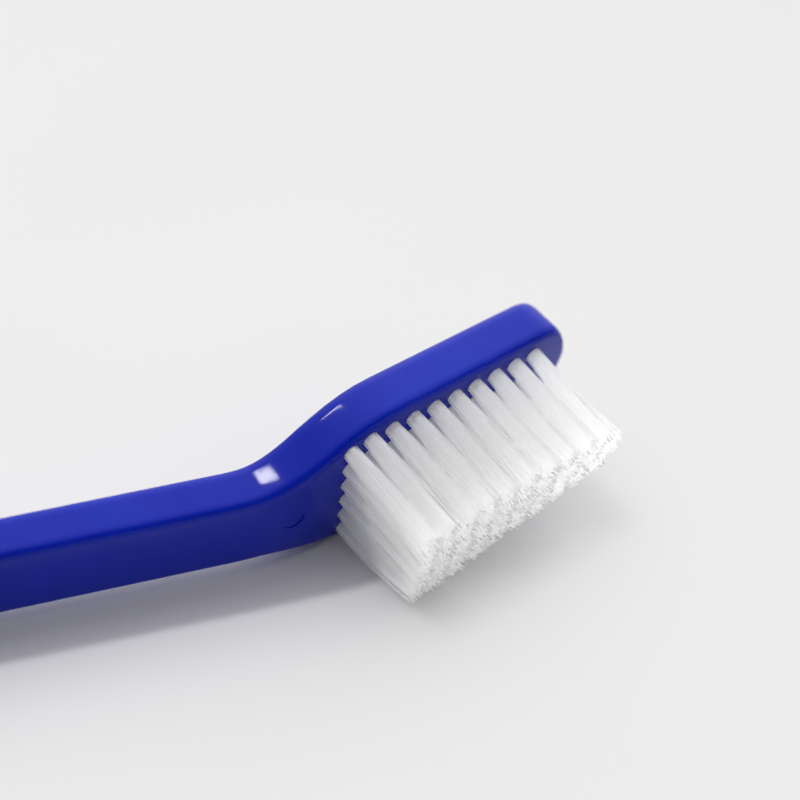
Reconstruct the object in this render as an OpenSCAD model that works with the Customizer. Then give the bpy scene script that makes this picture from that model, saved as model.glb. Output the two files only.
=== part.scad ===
// Double-ended pet toothbrush: a one-piece moulded handle with a large and a small head.
// Each head has rows of blind holes. In each hole sits a tuft of nylon bristles, folded round
// a flat metal anchor that bites into the plastic on both sides of the hole.
// The brush lies on its edge: +X runs to the large head, the bristles point to -Y, +Z is up.
// The origin is the centre of the flat back of the grip.

/* [Grip] */
// Length of the straight grip between the two necks
grip_length = 150.8; // [110:0.1:170]
// Width of the grip across its flat faces
grip_width = 8.8; // [8:0.1:10]
// Thickness of the grip
grip_thickness = 4.4; // [4:0.1:5]
// Radius of the long edges on the bristle side, along the grip and the heads
face_edge_radius = 0.9; // [0.6:0.1:1.1]
// Radius of the long edges on the back, along the grip and the heads
back_edge_radius = 1.4; // [1:0.1:1.7]

/* [Heads] */
// Angle by which each head leans back from the grip
head_angle = 23; // [18:1:28]
// Thickness of both heads
head_thickness = 4.8; // [4.6:0.1:5.4]
// Radius of the bend in each neck, at the middle of the thickness
bend_radius = 20; // [18:1:26]
// How much each side of the large head narrows for each millimetre towards the tip
large_taper = 0.16; // [0.13:0.01:0.16]
// How much each side of the small head narrows for each millimetre towards the tip
small_taper = 0.025; // [0:0.005:0.03]
// Width of plastic left between the outer tufts and the edge of the face
face_margin = 1.5; // [1.2:0.1:1.8]

/* [Tufts] */
// Distance between neighbouring columns of tufts
column_pitch = 2.4; // [2.3:0.1:2.5]
// Diameter of the blind hole for each tuft
hole_diameter = 1.6; // [1.5:0.05:1.7]
// Depth of each blind hole
hole_depth = 3.2; // [2.8:0.1:3.6]
// Diameter of a tuft at its trimmed tip
tip_diameter = 2; // [1.7:0.05:2]
// Free length of the bristles on the large head
large_bristle_length = 11.1; // [9:0.1:13]
// Free length of the bristles on the small head
small_bristle_length = 9.5; // [8:0.1:11]

/* [Anchors] */
// Length of each anchor across its hole
anchor_length = 1.95; // [1.85:0.05:2]
// Height of each anchor along its hole
anchor_height = 1.4; // [1.2:0.1:1.6]
// Thickness of each anchor
anchor_thickness = 0.3; // [0.2:0.05:0.4]

/* [Hidden] */
ROUND = 24;
// steps in which the body is drawn: round each long edge, along a bend, a head and a nose
CORNER_STEPS = 4;
BEND_STEPS = 10;
HEAD_STEPS = 16;
NOSE_STEPS = 9;
// a nose's last section stands at this angle of its quarter round, just short of its tip
NOSE_SWEEP = 88;
// an edge's radius stays below this share of half the width and half the thickness
EDGE_SHARE = 0.98;
// each head as [tufts in each column from the neck to the tip,
//     half the distance between its outer rows at the first column,
//     narrowing of each side for each millimetre, free length of its bristles,
//     how far the middle of its last columns stands ahead of their ends]
LARGE = [[6, 6, 5, 5, 5, 5, 4, 3, 3, 3], 6.05, large_taper, large_bristle_length, 1.4];
SMALL = [[3, 3, 3, 3, 3, 3, 2], 2.5, small_taper, small_bristle_length, 0];
// columns bow towards the tip from this one on, and reach the full bow after this many more
bow_from = 5;
bow_over = 3;
// the first column is drawn in: its end tufts by this much, and all of it towards the tip
first_inset = 0.6;
first_ahead = 0.3;
// distance from the end of a bend to where the first column would stand on the even pitch
neck_to_tufts = 1.9;
// distance from the last column to the tip of the head
last_to_tip = 4.15;
// length over which each tip is rounded, and the power of its rounding: 2 is an ellipse, and
// more than 2 is blunter
nose_length = 3.3;
nose_power = 2.7;
// the neck widens over this length, which ends this far past the first column
widening_length = 13.8;
widening_past_tufts = 5.6;
// shallow round mark that an ejector pin leaves on each neck, this far before the bend ends
mark_diameter = 2;
mark_depth = 0.1;
mark_before_head = 3;
// gap round a tuft in its hole and round an anchor in its tuft
tuft_gap = 0.02;
// an anchor stands this far above the bottom of its hole, where the tuft folds under it
fold_height = 0.6;
// how far a cutter reaches past the surface it opens
reach = 1;

bend_length = bend_radius * head_angle * PI / 180;
grip_color = "#1a2aa8";
bristle_color = "#f2f3f2";
anchor_color = "#c9ccd0";

// 0 below t = 0, 1 above t = 1 and a smooth rise between them
function smooth(t) = let(c = min(max(t, 0), 1)) c * c * (3 - 2 * c);

function counts(head) = head[0];
function taper(head) = head[2];
function bristle_length(head) = head[3];
function bow(head) = head[4];

// distance along a head from the end of its bend to its tip
function head_length(head) =
    neck_to_tufts + (len(counts(head)) - 1) * column_pitch + last_to_tip;

// half the spread of the tufts at distance d past the first column
function half_rows(head, d) = head[1] - taper(head) * d;

// half the width of a head at distance h past the end of its bend (h is negative in the neck)
function half_width(head, h) =
    let(d = h - neck_to_tufts)
    let(full = half_rows(head, d) + hole_diameter / 2 + face_margin)
    let(rise = smooth((d - widening_past_tufts + widening_length) / widening_length))
    let(wide = grip_width / 2 + (full - grip_width / 2) * rise)
    let(into_nose = max(h - head_length(head) + nose_length, 0) / nose_length)
    wide * pow(max(1 - pow(into_nose, nose_power), 0), 1 / nose_power);

// half the thickness, which grows from the grip to the head along the bend
function half_thickness(h) =
    (grip_thickness + (head_thickness - grip_thickness) * smooth(1 + h / bend_length)) / 2;

// angle of the middle line at distance h past the end of the bend
function lean(h) = head_angle * min(max(1 + h / bend_length, 0), 1);

// place of the middle line in plan, measured from the start of the bend
function spine(h) =
    let(a = lean(h))
    let(past = max(h, 0))
    [bend_radius * sin(a) + past * cos(a), bend_radius * (1 - cos(a)) + past * sin(a)];

// rounded rectangle of half width w and half thickness t, as [across the thickness, up]
function section(w, t) =
    [for (q = [0:3], i = [0:CORNER_STEPS])
        let(a = 90 * (q + i / CORNER_STEPS))
        let(side = (q == 0 || q == 3) ? 1 : -1)
        let(top = q < 2 ? 1 : -1)
        let(edge = side > 0 ? back_edge_radius : face_edge_radius)
        let(r = min(edge, w * EDGE_SHARE, t * EDGE_SHARE))
        [side * (t - r) + r * cos(a), top * (w - r) + r * sin(a)]];

// distances past the end of the bend at which the body's sections stand
function stations(head) =
    let(end = head_length(head))
    let(nose = end - nose_length)
    concat(
        [for (i = [0:BEND_STEPS - 1]) -bend_length * (1 - i / BEND_STEPS)],
        [for (i = [0:HEAD_STEPS - 1]) nose * i / HEAD_STEPS],
        [for (i = [0:NOSE_STEPS]) nose + nose_length * sin(NOSE_SWEEP * i / NOSE_STEPS)]);

// sections of one half of the handle from the start of its bend to its tip, each set square
// to the middle line; side is 1 for the right-hand half and -1 for the left-hand half
function half_rings(head, side) =
    [for (h = stations(head))
        let(p = spine(h))
        let(a = lean(h))
        [for (q = section(half_width(head, h), half_thickness(h)))
            [side * (grip_length / 2 + p[0] - q[0] * sin(a)),
             p[1] + q[0] * cos(a) - grip_thickness / 2,
             q[1]]]];

function reversed(list) = [for (i = [len(list) - 1:-1:0]) list[i]];

// one smooth skin from the small tip, along the grip, to the large tip
module handle_body() {
    per_ring = 4 * (CORNER_STEPS + 1);
    rings = concat(reversed(half_rings(SMALL, -1)), half_rings(LARGE, 1));
    last = len(rings) - 1;
    points = [for (ring = rings, p = ring) p];
    sides = [for (r = [0:last - 1], i = [0:per_ring - 1])
        let(j = (i + 1) % per_ring)
        let(near = r * per_ring)
        let(far = near + per_ring)
        each [[near + i, near + j, far + j], [near + i, far + j, far + i]]];
    start_cap = [for (i = [0:per_ring - 1]) per_ring - 1 - i];
    end_cap = [for (i = [0:per_ring - 1]) last * per_ring + i];
    polyhedron(points, concat([start_cap], sides, [end_cap]));
}

// moves children from a head's own frame to the start of its bend:
// X along the head past the bend, -Y out of its face, which lies at y = 0
module on_head() {
    p = spine(0);
    translate([p[0], p[1], 0])
        rotate([0, 0, head_angle])
            translate([0, -head_thickness / 2, 0])
                children();
}

// x and z of each tuft in one column; column 0 is the one nearest the neck
function tuft_places(head, column) =
    let(d = column * column_pitch)
    let(n = counts(head)[column])
    let(first = column == 0 ? 1 : 0)
    let(spread = half_rows(head, d) - first * first_inset * taper(head) / large_taper)
    let(ahead = bow(head) * smooth((column - bow_from) / bow_over))
    [for (i = [0:n - 1])
        let(v = 2 * i / (n - 1) - 1)
        [neck_to_tufts + d + first * first_ahead + ahead * (1 - v * v), spread * v]];

// puts children at each tuft of one column, with their Z out of the hole and 0 at the face
module at_tufts(head, column) {
    on_head()
        for (place = tuft_places(head, column))
            translate([place[0], 0, place[1]])
                rotate([90, 0, 0])
                    children();
}

// the slot of one anchor, or the anchor itself when gap is 0
module anchor_blade(gap) {
    translate([0, 0, fold_height - hole_depth + anchor_height / 2])
        cube([anchor_thickness, anchor_length, anchor_height] + gap * [2, 2, 2], center = true);
}

module tuft(free_length) {
    root_radius = hole_diameter / 2 - tuft_gap;
    difference() {
        union() {
            translate([0, 0, tuft_gap - hole_depth])
                cylinder(h = hole_depth - tuft_gap, r = root_radius, $fn = ROUND);
            cylinder(h = free_length, r1 = root_radius, r2 = tip_diameter / 2, $fn = ROUND);
        }
        anchor_blade(tuft_gap);
    }
}

module tuft_column(head, column) {
    color(bristle_color)
        at_tufts(head, column)
            tuft(bristle_length(head));
}

module anchor_column(head, column) {
    color(anchor_color)
        at_tufts(head, column)
            anchor_blade(0);
}

// blind hole with the two cuts that the anchor's ends press into the plastic
module tuft_hole() {
    translate([0, 0, -hole_depth])
        cylinder(h = hole_depth + reach, d = hole_diameter, $fn = ROUND);
    anchor_blade(0);
}

module head_holes(head) {
    for (column = [0:len(counts(head)) - 1])
        at_tufts(head, column)
            tuft_hole();
}

// the ejector mark, in the bend on the bristle side
module neck_mark() {
    p = spine(-mark_before_head);
    translate([p[0], p[1], 0])
        rotate([90, 0, lean(-mark_before_head)])
            translate([0, 0, half_thickness(-mark_before_head) - mark_depth])
                cylinder(h = reach, d = mark_diameter, $fn = ROUND);
}

// moves children from the start of the bend to the right-hand end of the grip
module at_large_end() {
    translate([grip_length / 2, -grip_thickness / 2, 0])
        children();
}

// the same at the left-hand end, mirrored
module at_small_end() {
    mirror([1, 0, 0])
        at_large_end()
            children();
}

module handle() {
    color(grip_color)
        difference() {
            handle_body();
            at_large_end() {
                head_holes(LARGE);
                neck_mark();
            }
            at_small_end() {
                head_holes(SMALL);
                neck_mark();
            }
        }
}

module large_tufts(column) {
    at_large_end()
        tuft_column(LARGE, column);
}

module large_anchors(column) {
    at_large_end()
        anchor_column(LARGE, column);
}

module small_tufts(column) {
    at_small_end()
        tuft_column(SMALL, column);
}

module small_anchors(column) {
    at_small_end()
        anchor_column(SMALL, column);
}

handle();
large_tufts(0);  // large_tufts_01
large_tufts(1);  // large_tufts_02
large_tufts(2);  // large_tufts_03
large_tufts(3);  // large_tufts_04
large_tufts(4);  // large_tufts_05
large_tufts(5);  // large_tufts_06
large_tufts(6);  // large_tufts_07
large_tufts(7);  // large_tufts_08
large_tufts(8);  // large_tufts_09
large_tufts(9);  // large_tufts_10
large_anchors(0);  // large_anchors_01
large_anchors(1);  // large_anchors_02
large_anchors(2);  // large_anchors_03
large_anchors(3);  // large_anchors_04
large_anchors(4);  // large_anchors_05
large_anchors(5);  // large_anchors_06
large_anchors(6);  // large_anchors_07
large_anchors(7);  // large_anchors_08
large_anchors(8);  // large_anchors_09
large_anchors(9);  // large_anchors_10
small_tufts(0);  // small_tufts_01
small_tufts(1);  // small_tufts_02
small_tufts(2);  // small_tufts_03
small_tufts(3);  // small_tufts_04
small_tufts(4);  // small_tufts_05
small_tufts(5);  // small_tufts_06
small_tufts(6);  // small_tufts_07
small_anchors(0);  // small_anchors_01
small_anchors(1);  // small_anchors_02
small_anchors(2);  // small_anchors_03
small_anchors(3);  // small_anchors_04
small_anchors(4);  // small_anchors_05
small_anchors(5);  // small_anchors_06
small_anchors(6);  // small_anchors_07
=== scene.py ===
"""The looks of the double-ended pet toothbrush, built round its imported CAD.

The handle and the metal anchors stay as the CAD made them and get their materials here. Each
column of solid tufts is replaced by real filaments, folded round its anchors. Lengths are in
millimetres until a mesh is made, except on the stage, where they are in metres.
"""

import math

import bmesh
import bpy
import numpy as np
from mathutils import Matrix, Vector


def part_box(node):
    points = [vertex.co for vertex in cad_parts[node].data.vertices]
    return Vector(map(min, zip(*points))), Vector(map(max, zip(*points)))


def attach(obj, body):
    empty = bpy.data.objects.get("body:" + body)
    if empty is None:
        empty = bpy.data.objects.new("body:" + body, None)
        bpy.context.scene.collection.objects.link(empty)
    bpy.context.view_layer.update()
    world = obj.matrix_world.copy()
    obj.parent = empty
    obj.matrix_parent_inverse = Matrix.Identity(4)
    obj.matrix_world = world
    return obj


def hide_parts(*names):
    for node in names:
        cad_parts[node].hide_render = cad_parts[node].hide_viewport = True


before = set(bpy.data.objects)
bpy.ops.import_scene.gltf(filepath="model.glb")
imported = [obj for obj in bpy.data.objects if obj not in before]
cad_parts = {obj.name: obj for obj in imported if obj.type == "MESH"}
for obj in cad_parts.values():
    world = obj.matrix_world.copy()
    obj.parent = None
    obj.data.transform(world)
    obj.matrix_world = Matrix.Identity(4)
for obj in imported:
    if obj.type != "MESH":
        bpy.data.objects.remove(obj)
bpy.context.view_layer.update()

MM = 0.001
UP = np.array([0.0, 0.0, 1.0])

# corners closer together than this are one corner
WELD = 0.001

# how the brush lies: rolled this far towards its bristles, on a floor that touches its edges
ROLL = math.radians(19.5)

# the slopes along the brush that are tried for the floor: up to the steepest, both ways
STEEPEST_FLOOR = 0.05
FLOOR_SLOPES = 401

# a filament, and how many are folded round each anchor
FILAMENT_RADIUS = 0.072
FOLDED_PER_TUFT = 36
FILAMENT_SIDES = 5

# the bottom of the hole and the ends of its anchor, measured down from the face of the head
HOLE_DEPTH = 3.2
ANCHOR_TOP = 1.2
ANCHOR_FOOT = 2.6

# half the anchor's thickness, and the radius within which the filaments' middles are packed
BLADE_HALF = 0.15
PACKED_RADIUS = 0.71

# a filament's fold reaches this far below the anchor, and the outermost this much further
FOLD_DEPTH = 0.15
OUTER_FOLD_DEPTH = 0.3
FOLD_POINTS = 5

# the free length is drawn in this many steps, and ends in a dome: the distances of its last
# points from the tip, and the share of the full radius at the last two of them
FREE_STEPS = 7
DOME = np.array([0.11, 0.035, 0.0])
DOME_RADII = (0.85, 0.4)

# a tuft fans out to this radius at its trimmed tips, mostly towards the end of its length
TIP_RADIUS = 1.3
FAN_CURVE = 1.25

# how uneven the filaments are: in length, at the tip, along the way, and whole tufts in lean
LENGTH_SPREAD = 0.09
TIP_SPREAD = 0.09
SWAY = 0.05
LEAN_SPREAD = 0.012

# a few filaments stray this many times as far as the others
STRAY_SHARE = 0.05
STRAY_TIMES = 3.0

# how strongly an outer filament is shaded as part of its round bundle, and how far the
# shading of a filament's first and last points turns towards its ends
BUNDLE_SHADING = 1.6
END_SHADING = (-1.5, -0.5, 0.5, 1.5)

# how far the lowest row of each head is bent up at its tips, how the bend fades upwards, how
# it grows along a filament, and how much of it shortens the filament's reach
LOWEST_LIFT = {"large": 4.2, "small": 1.4}
LIFT_FADE = 1.5
LIFT_CURVE = 1.6
SHORTENING = 0.6

# how far the tips of a head's first and last columns are swept back towards the grip
SWEPT_BACK = {"large": (-0.75, -1.75), "small": (0.0, 0.0)}
SWEEP_CURVE = 1.2

# The white of a bristle block is light scattered from filament to filament. That takes too
# many bounces, so filaments are almost clear to such light and to shadows, and the share of
# light that comes through them to the camera is scaled up instead.
CLARITY = 0.982
THROUGH_SHARE = 0.6
THROUGH_COLOR = (2.0, 2.0, 1.97, 1)

# noise lies mostly between these values
NOISE_LOW = 0.3
NOISE_HIGH = 0.7

# neighbouring faces of the handle that meet at less than this are parts of one round edge
SMOOTH_BELOW = math.radians(35)

# the stage, in metres: half the floor's side, and where it fades into the backdrop
FLOOR_HALF = 1.2
FADE_FROM = 0.22
FADE_TO = 0.5
BACKDROP = (0.87, 0.87, 0.87, 1)

# the sky is brightest high up behind the brush and darkens away from there; the sides are
# cosines of the angle from its brightest point
BRIGHT_SIDE = (0.4, 0.66, 0.7)
DARK_SKY = 0.14
BRIGHT_SKY = 1.85
DARK_FROM = 0.3
BRIGHT_FROM = 0.95
SKY_COLOR = (0.985, 0.975, 0.965, 1)

# the window that is mirrored in the bends of the neck: its direction, distance, size and power
WINDOW_SIDE = (-0.2, 0.49, 0.85)
WINDOW_DISTANCE = 0.6
WINDOW_SIZE = (0.15, 0.05)
WINDOW_POWER = 1.1

CAMERA_AIM = Vector((0.0935, 0.0062, 0.0))
CAMERA_AZIMUTH = math.radians(-24.05)
CAMERA_ELEVATION = math.radians(52.6)
CAMERA_ROLL = math.radians(-8.37)
CAMERA_DISTANCE = 0.18234
CAMERA_LENS = 92.7
CAMERA_SENSOR = 36
CAMERA_FSTOP = 20
CAMERA_NEAREST = 0.01

# seed of every uneven length and place, so that each run draws the same bristles
SEED = 7

# light passes many filament walls on its way through a head
FILAMENT_WALLS = 160
MAX_BOUNCES = 14
DIFFUSE_BOUNCES = 10


# ---------------------------------------------------------------- places read from the frame

def solids_of(node):
    """The separate solids of a CAD node, lowest first, each as an array of its corners."""
    mesh = bmesh.new()
    mesh.from_mesh(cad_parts[node].data)
    bmesh.ops.remove_doubles(mesh, verts=mesh.verts, dist=WELD * MM)
    seen = set()
    solids = []
    for first in mesh.verts:
        if first in seen:
            continue
        seen.add(first)
        front = [first]
        corners = []
        while front:
            corner = front.pop()
            corners.append(list(corner.co))
            for edge in corner.link_edges:
                other = edge.other_vert(corner)
                if other not in seen:
                    seen.add(other)
                    front.append(other)
        solids.append(np.array(corners) / MM)
    mesh.free()
    return sorted(solids, key=lambda corners: corners[:, 2].mean())


def tuft_place(corners):
    """Where a tuft leaves the face, the direction it points in and its free length."""
    middle = corners.mean(0)
    _, directions = np.linalg.eigh(np.cov((corners - middle).T))
    longest = directions[:, 2]
    axis = longest if longest[1] < 0 else -longest
    along = (corners - middle) @ axis
    face = middle + axis * (along.min() + HOLE_DEPTH)
    return face, axis, along.max() - along.min() - HOLE_DEPTH


def floor_plane():
    """The floor that the handle lies on: z = height + slope * x - tan(roll) * y."""
    corners = np.array([v.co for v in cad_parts["handle"].data.vertices]) / MM
    level = corners[:, 2] + math.tan(ROLL) * corners[:, 1]
    slopes = np.linspace(-STEEPEST_FLOOR, STEEPEST_FLOOR, FLOOR_SLOPES)
    heights = [(level - slope * corners[:, 0]).min() for slope in slopes]
    best = int(np.argmax(heights))
    return heights[best], slopes[best]


def columns_of(head, part):
    return sorted(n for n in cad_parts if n.startswith(head + "_" + part))


def row_span(head):
    """The heights between which a head's bend fades: just above its rows, and their lowest."""
    boxes = [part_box(node) for node in columns_of(head, "anchors")]
    highest = max(box[1].z for box in boxes) / MM
    lowest = min(box[0].z for box in boxes) / MM
    first = boxes[0][1].z / MM
    return highest + (highest - first) / 2, lowest


FLOOR_HEIGHT, FLOOR_SLOPE = floor_plane()
FLOOR_NORMAL = np.array([-FLOOR_SLOPE, math.tan(ROLL), 1.0])
FLOOR_NORMAL = FLOOR_NORMAL / np.linalg.norm(FLOOR_NORMAL)
FLOOR_OFFSET = FLOOR_HEIGHT * FLOOR_NORMAL[2]

HEAD_ROWS = {head: row_span(head) for head in LOWEST_LIFT}


# ---------------------------------------------------------------- parts of materials

def new_material(name):
    material = bpy.data.materials.new(name)
    material.use_nodes = True
    nodes = material.node_tree.nodes
    nodes.clear()
    return material, nodes, material.node_tree.links


def object_coords(nodes):
    return nodes.new("ShaderNodeTexCoord").outputs["Object"]


def noise(nodes, links, coords, scale, detail=2):
    texture = nodes.new("ShaderNodeTexNoise")
    texture.inputs["Scale"].default_value = scale
    texture.inputs["Detail"].default_value = detail
    links.new(coords, texture.inputs["Vector"])
    return texture.outputs["Fac"]


def mapped(nodes, links, value, low, high, start=NOISE_LOW, end=NOISE_HIGH):
    """value from start to end, turned into low to high."""
    spread = nodes.new("ShaderNodeMapRange")
    spread.inputs["From Min"].default_value = start
    spread.inputs["From Max"].default_value = end
    spread.inputs["To Min"].default_value = low
    spread.inputs["To Max"].default_value = high
    links.new(value, spread.inputs["Value"])
    return spread.outputs["Result"]


def blended(nodes, links, value, first, second):
    """The first colour where value is low, the second where it is high."""
    ramp = nodes.new("ShaderNodeValToRGB")
    ramp.color_ramp.elements[0].position = NOISE_LOW
    ramp.color_ramp.elements[0].color = (*first, 1)
    ramp.color_ramp.elements[1].position = NOISE_HIGH
    ramp.color_ramp.elements[1].color = (*second, 1)
    links.new(value, ramp.inputs["Fac"])
    return ramp.outputs["Color"]


def bump(nodes, links, height, distance, under=None):
    """A bumpy surface, on top of the bumps in under where that is given."""
    node = nodes.new("ShaderNodeBump")
    node.inputs["Distance"].default_value = distance
    links.new(height, node.inputs["Height"])
    if under is not None:
        links.new(under, node.inputs["Normal"])
    return node.outputs["Normal"]


def calculated(nodes, links, operation, first, second):
    node = nodes.new("ShaderNodeMath")
    node.operation = operation
    links.new(first, node.inputs[0])
    links.new(second, node.inputs[1])
    return node.outputs["Value"]


def mixed(nodes, links, first, second):
    """A mix of two shaders, whose share of the second is still to be set."""
    node = nodes.new("ShaderNodeMixShader")
    links.new(first, node.inputs[1])
    links.new(second, node.inputs[2])
    return node


def surface(nodes, links, shader):
    output = nodes.new("ShaderNodeOutputMaterial")
    links.new(shader, output.inputs["Surface"])


def paint(obj, material):
    obj.data.materials.clear()
    obj.data.materials.append(material)


# ---------------------------------------------------------------- materials

def handle_plastic():
    """Glossy royal-blue moulded plastic, with a faint ripple and slightly uneven gloss."""
    material, nodes, links = new_material("handle_plastic")
    coords = object_coords(nodes)
    shader = nodes.new("ShaderNodeBsdfPrincipled")
    tone = noise(nodes, links, coords, scale=90)
    links.new(blended(nodes, links, tone, (0.001, 0.012, 0.365), (0.0015, 0.016, 0.42)),
              shader.inputs["Base Color"])
    gloss = noise(nodes, links, coords, scale=260, detail=4)
    links.new(mapped(nodes, links, gloss, low=0.05, high=0.11), shader.inputs["Roughness"])
    ripple = noise(nodes, links, coords, scale=160, detail=1)
    grain = noise(nodes, links, coords, scale=1400, detail=3)
    wavy = bump(nodes, links, ripple, distance=0.08 * MM)
    links.new(bump(nodes, links, grain, distance=0.002 * MM, under=wavy),
              shader.inputs["Normal"])
    shader.inputs["IOR"].default_value = 1.46
    shader.inputs["Specular IOR Level"].default_value = 0.2
    shader.inputs["Subsurface Weight"].default_value = 0.15
    shader.inputs["Subsurface Radius"].default_value = (0.2, 0.3, 1.0)
    shader.inputs["Subsurface Scale"].default_value = 1.2 * MM
    surface(nodes, links, shader.outputs["BSDF"])
    return material


def bristle_nylon():
    """White translucent nylon, a little different from one filament to the next."""
    material, nodes, links = new_material("bristle_nylon")
    coords = object_coords(nodes)
    shader = nodes.new("ShaderNodeBsdfPrincipled")
    filament = nodes.new("ShaderNodeNewGeometry").outputs["Random Per Island"]
    links.new(blended(nodes, links, filament, (0.95, 0.955, 0.96), (0.985, 0.985, 0.98)),
              shader.inputs["Base Color"])
    haze = noise(nodes, links, coords, scale=900)
    links.new(mapped(nodes, links, haze, low=0.3, high=0.45), shader.inputs["Roughness"])
    links.new(bump(nodes, links, haze, distance=0.004 * MM), shader.inputs["Normal"])
    shader.inputs["IOR"].default_value = 1.53
    through = nodes.new("ShaderNodeBsdfTranslucent")
    through.inputs["Color"].default_value = THROUGH_COLOR
    filled = mixed(nodes, links, shader.outputs["BSDF"], through.outputs["BSDF"])
    filled.inputs["Fac"].default_value = THROUGH_SHARE
    clear = nodes.new("ShaderNodeBsdfTransparent")
    clear.inputs["Color"].default_value = (CLARITY, CLARITY, CLARITY, 1)
    path = nodes.new("ShaderNodeLightPath")
    scattered = calculated(nodes, links, "MAXIMUM",
                           path.outputs["Is Shadow Ray"], path.outputs["Is Diffuse Ray"])
    nylon = mixed(nodes, links, filled.outputs["Shader"], clear.outputs["BSDF"])
    links.new(scattered, nylon.inputs["Fac"])
    surface(nodes, links, nylon.outputs["Shader"])
    return material


def anchor_metal():
    """Plain nickel-silver strip, with the fine lines of rolling."""
    material, nodes, links = new_material("anchor_metal")
    stretch = nodes.new("ShaderNodeMapping")
    stretch.inputs["Scale"].default_value = (1, 1, 12)
    links.new(object_coords(nodes), stretch.inputs["Vector"])
    lines = noise(nodes, links, stretch.outputs["Vector"], scale=1500)
    shader = nodes.new("ShaderNodeBsdfPrincipled")
    shader.inputs["Metallic"].default_value = 1
    links.new(blended(nodes, links, lines, (0.62, 0.6, 0.55), (0.75, 0.73, 0.69)),
              shader.inputs["Base Color"])
    links.new(mapped(nodes, links, lines, low=0.25, high=0.4), shader.inputs["Roughness"])
    links.new(bump(nodes, links, lines, distance=0.005 * MM), shader.inputs["Normal"])
    surface(nodes, links, shader.outputs["BSDF"])
    return material


def table_top():
    """Matt pale card that fades into the backdrop, and isn't drawn when seen from below."""
    material, nodes, links = new_material("table_top")
    coords = object_coords(nodes)
    shader = nodes.new("ShaderNodeBsdfPrincipled")
    tone = noise(nodes, links, coords, scale=12)
    links.new(blended(nodes, links, tone, (0.67, 0.67, 0.675), (0.69, 0.69, 0.695)),
              shader.inputs["Base Color"])
    shader.inputs["Roughness"].default_value = 0.75
    shader.inputs["Specular IOR Level"].default_value = 0.2
    distance = nodes.new("ShaderNodeVectorMath")
    distance.operation = "LENGTH"
    links.new(coords, distance.inputs[0])
    far = mapped(nodes, links, distance.outputs["Value"], 0, 1, FADE_FROM, FADE_TO)
    below = nodes.new("ShaderNodeNewGeometry").outputs["Backfacing"]
    hidden = calculated(nodes, links, "MAXIMUM", below, far)
    seen = nodes.new("ShaderNodeLightPath").outputs["Is Camera Ray"]
    clear = nodes.new("ShaderNodeBsdfTransparent")
    card = mixed(nodes, links, shader.outputs["BSDF"], clear.outputs["BSDF"])
    links.new(calculated(nodes, links, "MULTIPLY", seen, hidden), card.inputs["Fac"])
    surface(nodes, links, card.outputs["Shader"])
    return material


# ---------------------------------------------------------------- bristles

def unit(vectors):
    return vectors / np.linalg.norm(vectors, axis=-1, keepdims=True)


def smooth(t):
    t = np.clip(t, 0, 1)
    return t * t * (3 - 2 * t)


def folded_roots():
    """Where the folded filaments leave the face on one side of the anchor, as (across, up)."""
    turn = math.pi * (3 - math.sqrt(5))
    count = np.arange(FOLDED_PER_TUFT)
    reach = PACKED_RADIUS * np.sqrt((count + 0.5) / FOLDED_PER_TUFT)
    angle = (count * turn) % math.pi - math.pi / 2
    return reach * np.cos(angle), reach * np.sin(angle)


def arm_in_hole(across, up):
    """Each filament from the foot of the anchor to the face, pinched beside the anchor."""
    half_way = -(ANCHOR_FOOT + ANCHOR_TOP) / 2
    out = np.array([-ANCHOR_FOOT, half_way, -ANCHOR_TOP, -ANCHOR_TOP / 2])
    pinch = smooth(-out / ANCHOR_TOP)
    blade = BLADE_HALF + FILAMENT_RADIUS
    beside = blade + across * (1 - blade / PACKED_RADIUS)
    room = np.sqrt(np.maximum(PACKED_RADIUS**2 - beside**2, 0))
    narrowed = up * room / np.sqrt(PACKED_RADIUS**2 - across**2)
    return (across[:, None] + (beside - across)[:, None] * pinch,
            up[:, None] + (narrowed - up)[:, None] * pinch,
            np.tile(out, (len(across), 1)))


def free_arm(across, up, free_length, lift, random):
    """Each filament from the face to its tip, fanned out, a little uneven and bent up."""
    count = len(across)
    length = free_length + random.normal(0, LENGTH_SPREAD, count)
    fall = np.sqrt(length**2 - SHORTENING * lift**2)
    even = np.arange(FREE_STEPS) / FREE_STEPS
    t = np.concatenate([np.tile(even, (count, 1)), 1 - DOME / fall[:, None]], axis=1)
    stray = np.where(random.random(count) < STRAY_SHARE, STRAY_TIMES, 1.0)
    fan = TIP_RADIUS / PACKED_RADIUS
    tip_across = across * fan + random.normal(0, TIP_SPREAD, count) * stray
    tip_up = up * fan + random.normal(0, TIP_SPREAD, count) * stray
    spread = t**FAN_CURVE
    sway = random.normal(0, SWAY, (count, 2))
    wave = np.sin(math.pi * t)
    return (across[:, None] + (tip_across - across)[:, None] * spread + sway[:, :1] * wave,
            up[:, None] + (tip_up - up)[:, None] * spread + sway[:, 1:] * wave
            + lift * t**LIFT_CURVE,
            fall[:, None] * t)


def arm(side, roots, free_length, lift, random):
    """One half of each folded filament, from the foot of the anchor out to its tip.

    Each point is (across the anchor, up the column, out of the face)."""
    in_hole = arm_in_hole(*roots)
    free = free_arm(*roots, free_length, lift, random)
    across, up, out = [np.concatenate(pair, axis=1) for pair in zip(in_hole, free)]
    return np.stack([side * across, up, out], axis=2)


def fold(start):
    """The bend of each filament under the anchor, from one foot of it to the other."""
    angle = math.pi * np.arange(1, FOLD_POINTS + 1) / (FOLD_POINTS + 1)
    across = start[:, 0]
    depth = FOLD_DEPTH + OUTER_FOLD_DEPTH * across / PACKED_RADIUS
    return np.stack([across[:, None] * np.cos(angle),
                     np.tile(start[:, 1:2], (1, len(angle))),
                     start[:, 2:3] - depth[:, None] * np.sin(angle)], axis=2)


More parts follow.
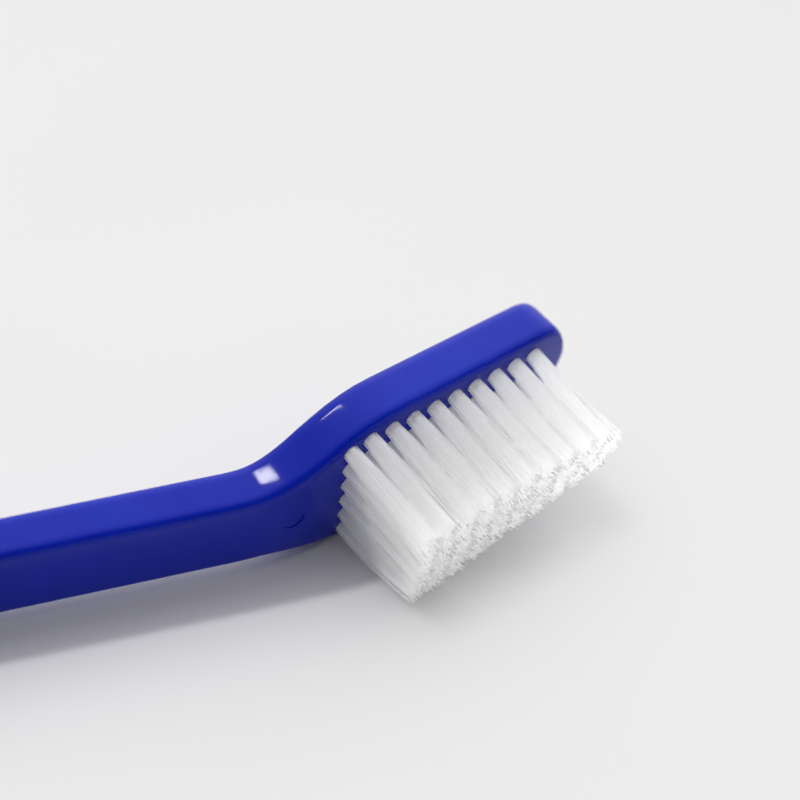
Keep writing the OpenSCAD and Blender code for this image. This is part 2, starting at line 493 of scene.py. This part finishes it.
def tuft_lines(corners, head, sweep, random):
    """The middle lines of one tuft's filaments in the row frame, tip to tip."""
    top, bottom = HEAD_ROWS[head]
    face, axis, free_length = tuft_place(corners)
    sideways = np.cross(UP, axis)
    fade = (top - face[2]) / (top - bottom)
    lift = LOWEST_LIFT[head] * max(fade, 0)**LIFT_FADE
    roots = folded_roots()
    first = arm(1, roots, free_length, lift, random)
    second = arm(-1, roots, free_length, lift, random)
    local = np.concatenate([first[:, ::-1], fold(first[:, 0]), second], axis=1)
    lean = random.normal(0, LEAN_SPREAD, 2)
    out = np.maximum(local[:, :, 2:], 0)
    local[:, :, :2] += out * lean
    local[:, :, :1] += sweep * (out / free_length)**SWEEP_CURVE
    lines = face + local[:, :, :1] * sideways + local[:, :, 1:2] * UP + local[:, :, 2:] * axis
    sunk = FLOOR_OFFSET + FILAMENT_RADIUS - lines @ FLOOR_NORMAL
    return lines + np.maximum(sunk, 0)[:, :, None] * FLOOR_NORMAL


def tube_radii(rings):
    """The radius at each ring of a filament, smaller in the domes at both ends."""
    radius = np.full(rings, FILAMENT_RADIUS)
    radius[[1, -2]] *= DOME_RADII[0]
    radius[[0, -1]] *= DOME_RADII[1]
    return radius


def tube_normals(tufts, tangent, outward):
    """Inner filaments shade as tubes, and outer ones also as part of their round bundle."""
    middles = [(tuft.mean(0) + tuft[:, ::-1].mean(0)) / 2 for tuft in tufts]
    bundle = np.concatenate([tuft - middle for tuft, middle in zip(tufts, middles)])
    bundle -= (bundle * tangent).sum(2, keepdims=True) * tangent
    bundle *= BUNDLE_SHADING / TIP_RADIUS
    ends = np.zeros(tangent.shape[1])
    ends[[0, 1, -2, -1]] = END_SHADING
    return unit(outward + bundle[:, :, None] + (tangent * ends[:, None])[:, :, None])


def tube_faces(count, rings):
    """The side faces and the two end faces of each tube."""
    ring = np.arange(FILAMENT_SIDES)
    step = np.roll(ring, -1)
    start = np.arange(rings - 1)[:, None] * FILAMENT_SIDES
    quads = np.stack([start + step, start + ring,
                      start + FILAMENT_SIDES + ring, start + FILAMENT_SIDES + step], axis=2)
    quads = quads.reshape(-1, 4)
    last = (rings - 1) * FILAMENT_SIDES
    faces = []
    for tube in range(count):
        base = tube * rings * FILAMENT_SIDES
        faces += (quads + base).tolist()
        faces.append((ring + base).tolist())
        faces.append((ring[::-1] + last + base).tolist())
    return faces


def tube_mesh(name, tufts):
    """Closed round tubes along the lines of all the tufts, with domed ends."""
    lines = np.concatenate(tufts)
    count, rings = lines.shape[:2]
    tangent = unit(np.gradient(lines, axis=1))
    side = unit(np.cross(tangent, UP))
    other = np.cross(side, tangent)
    angle = np.arange(FILAMENT_SIDES) * 2 * math.pi / FILAMENT_SIDES
    outward = (np.cos(angle)[:, None] * side[:, :, None]
               + np.sin(angle)[:, None] * other[:, :, None])
    points = lines[:, :, None] + tube_radii(rings)[None, :, None, None] * outward
    normals = tube_normals(tufts, tangent, outward)
    mesh = bpy.data.meshes.new(name)
    mesh.from_pydata((points.reshape(-1, 3) * MM).tolist(), [], tube_faces(count, rings))
    mesh.shade_smooth()
    mesh.normals_split_custom_set_from_vertices(normals.reshape(-1, 3).tolist())
    return mesh


def bristle_column(head, node, name, share, material, random):
    """One column of tufts, as filaments in place of its CAD node.

    share is how far along the head the column stands, from 0 to 1."""
    first, last = SWEPT_BACK[head]
    sweep = first + (last - first) * share
    lines = [tuft_lines(corners, head, sweep, random) for corners in solids_of(node)]
    obj = bpy.data.objects.new(name, tube_mesh(name, lines))
    bpy.context.scene.collection.objects.link(obj)
    paint(obj, material)
    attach(obj, "root")
    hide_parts(node)


def bristles(head, material, random):
    columns = columns_of(head, "tufts")
    for number, node in enumerate(columns):
        share = number / (len(columns) - 1)
        bristle_column(head, node, f"{head}_bristles_{number + 1:02d}", share, material, random)


# ---------------------------------------------------------------- handle

def smooth_moulding():
    """Joins the handle's faces and shades them smoothly, except across its real edges."""
    group = bpy.data.node_groups.new("smooth_moulding", "GeometryNodeTree")
    group.interface.new_socket("Geometry", in_out="INPUT", socket_type="NodeSocketGeometry")
    group.interface.new_socket("Geometry", in_out="OUTPUT", socket_type="NodeSocketGeometry")
    nodes = group.nodes
    links = group.links
    start = nodes.new("NodeGroupInput")
    merge = nodes.new("GeometryNodeMergeByDistance")
    merge.inputs["Distance"].default_value = WELD * MM
    faces = nodes.new("GeometryNodeSetShadeSmooth")
    faces.domain = "FACE"
    angle = nodes.new("GeometryNodeInputMeshEdgeAngle")
    gentle = nodes.new("FunctionNodeCompare")
    gentle.operation = "LESS_THAN"
    gentle.inputs[1].default_value = SMOOTH_BELOW
    edges = nodes.new("GeometryNodeSetShadeSmooth")
    edges.domain = "EDGE"
    end = nodes.new("NodeGroupOutput")
    links.new(start.outputs[0], merge.inputs["Geometry"])
    links.new(merge.outputs["Geometry"], faces.inputs["Geometry"])
    links.new(faces.outputs["Geometry"], edges.inputs["Geometry"])
    links.new(angle.outputs["Unsigned Angle"], gentle.inputs[0])
    links.new(gentle.outputs["Result"], edges.inputs["Shade Smooth"])
    links.new(edges.outputs["Geometry"], end.inputs[0])
    return group


def soften(obj):
    """Smooth shading over the rounded edges that keeps the flat faces flat."""
    modifier = obj.modifiers.new("smooth_moulding", "NODES")
    modifier.node_group = smooth_moulding()
    weighted = obj.modifiers.new("flat_faces_stay_flat", "WEIGHTED_NORMAL")
    weighted.keep_sharp = True
    weighted.weight = 100


# ---------------------------------------------------------------- stage, light and camera

def add_floor():
    mesh = bpy.data.meshes.new("floor")
    corners = []
    for x, y in ((-1, -1), (1, -1), (1, 1), (-1, 1)):
        rise = FLOOR_SLOPE * x - math.tan(ROLL) * y
        corners.append((FLOOR_HALF * x, FLOOR_HALF * y, FLOOR_HEIGHT * MM + FLOOR_HALF * rise))
    mesh.from_pydata(corners, [], [(0, 1, 2, 3)])
    floor = bpy.data.objects.new("floor", mesh)
    bpy.context.scene.collection.objects.link(floor)
    paint(floor, table_top())


def add_window():
    """A soft oblong light that looks at what the camera looks at."""
    data = bpy.data.lights.new("window", "AREA")
    data.shape = "RECTANGLE"
    data.size = WINDOW_SIZE[0]
    data.size_y = WINDOW_SIZE[1]
    data.energy = WINDOW_POWER
    window = bpy.data.objects.new("window", data)
    way = Vector(WINDOW_SIDE).normalized()
    window.location = CAMERA_AIM + way * WINDOW_DISTANCE
    window.rotation_euler = way.to_track_quat("Z", "Y").to_euler()
    bpy.context.scene.collection.objects.link(window)


def add_world():
    """Soft light that is strongest high up behind the brush, on a pale backdrop."""
    world = bpy.data.worlds.new("studio")
    world.use_nodes = True
    nodes = world.node_tree.nodes
    links = world.node_tree.links
    nodes.clear()
    towards = nodes.new("ShaderNodeVectorMath")
    towards.operation = "DOT_PRODUCT"
    towards.inputs[1].default_value = Vector(BRIGHT_SIDE).normalized()
    links.new(nodes.new("ShaderNodeTexCoord").outputs["Generated"], towards.inputs[0])
    strength = mapped(nodes, links, towards.outputs["Value"],
                      DARK_SKY, BRIGHT_SKY, DARK_FROM, BRIGHT_FROM)
    light = nodes.new("ShaderNodeBackground")
    light.inputs["Color"].default_value = SKY_COLOR
    links.new(strength, light.inputs["Strength"])
    shown = nodes.new("ShaderNodeBackground")
    shown.inputs["Color"].default_value = BACKDROP
    sky = mixed(nodes, links, light.outputs["Background"], shown.outputs["Background"])
    links.new(nodes.new("ShaderNodeLightPath").outputs["Is Camera Ray"], sky.inputs["Fac"])
    links.new(sky.outputs["Shader"], nodes.new("ShaderNodeOutputWorld").inputs["Surface"])
    bpy.context.scene.world = world


def add_focus():
    """The point that is sharp in every view: the middle of the large head's first column."""
    focus = bpy.data.objects.new("focus", None)
    focus.location = sum(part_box("large_tufts_01"), Vector()) / 2
    bpy.context.scene.collection.objects.link(focus)
    return focus


def add_camera():
    data = bpy.data.cameras.new("camera")
    data.lens = CAMERA_LENS
    data.sensor_width = CAMERA_SENSOR
    data.clip_start = CAMERA_NEAREST
    data.dof.use_dof = True
    data.dof.focus_object = add_focus()
    data.dof.aperture_fstop = CAMERA_FSTOP
    camera = bpy.data.objects.new("camera", data)
    level = math.cos(CAMERA_ELEVATION)
    forward = Vector((-math.sin(CAMERA_AZIMUTH) * level,
                      math.cos(CAMERA_AZIMUTH) * level,
                      -math.sin(CAMERA_ELEVATION)))
    level_right = forward.cross(Vector(UP)).normalized()
    level_up = level_right.cross(forward)
    up = level_up * math.cos(CAMERA_ROLL) + level_right * math.sin(CAMERA_ROLL)
    right = forward.cross(up)
    turn = Matrix((right, up, -forward)).transposed().to_4x4()
    camera.matrix_world = Matrix.Translation(CAMERA_AIM - forward * CAMERA_DISTANCE) @ turn
    bpy.context.scene.collection.objects.link(camera)
    bpy.context.scene.camera = camera


def set_quality():
    """Plain colours, and bounces enough for light to pass through the bristles."""
    scene = bpy.context.scene
    scene.view_settings.view_transform = "Standard"
    scene.cycles.max_bounces = MAX_BOUNCES
    scene.cycles.diffuse_bounces = DIFFUSE_BOUNCES
    scene.cycles.transparent_max_bounces = FILAMENT_WALLS


# ---------------------------------------------------------------- the brush

plastic = handle_plastic()
nylon = bristle_nylon()
metal = anchor_metal()

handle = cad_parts["handle"]
paint(handle, plastic)
soften(handle)

random = np.random.default_rng(SEED)
for head in HEAD_ROWS:
    bristles(head, nylon, random)
    for node in columns_of(head, "anchors"):
        paint(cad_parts[node], metal)

add_floor()
add_world()
add_window()
add_camera()
set_quality()
